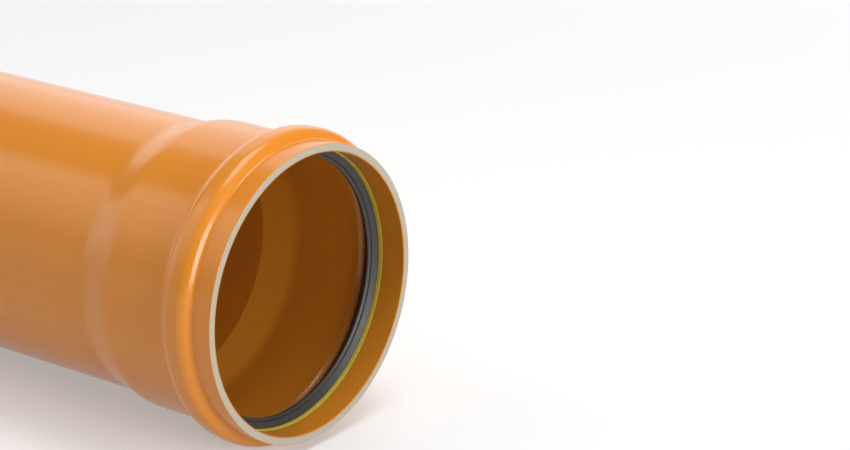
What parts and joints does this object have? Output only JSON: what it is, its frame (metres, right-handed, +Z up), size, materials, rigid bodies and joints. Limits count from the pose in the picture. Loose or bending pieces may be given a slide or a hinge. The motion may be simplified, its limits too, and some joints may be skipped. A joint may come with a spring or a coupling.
{
  "type": "pvc sewer pipe",
  "caption": "Straight PVC sewer pipe with a chamfered spigot and a flared push-fit socket, whose beaded groove holds a rubber lip seal and its retaining ring.",
  "frame": {"origin": "on the floor, below the middle of the pipe's length", "axes": "+Z up; the pipe lies along X with the socket's mouth at the +X end, raised 0.63 degrees because it rests on the socket's bead and on the spigot's end"},
  "size_m": [1.0818, 0.1832, 0.1832],
  "materials": {
    "orange_pvc": "gloss",
    "seal_rubber": "satin",
    "yellow_plastic": "satin"
  },
  "bodies": {
    "root": {"pipe": "orange_pvc", "seal_ring": "seal_rubber", "retaining_ring": "yellow_plastic"}
  },
  "joints": []
}
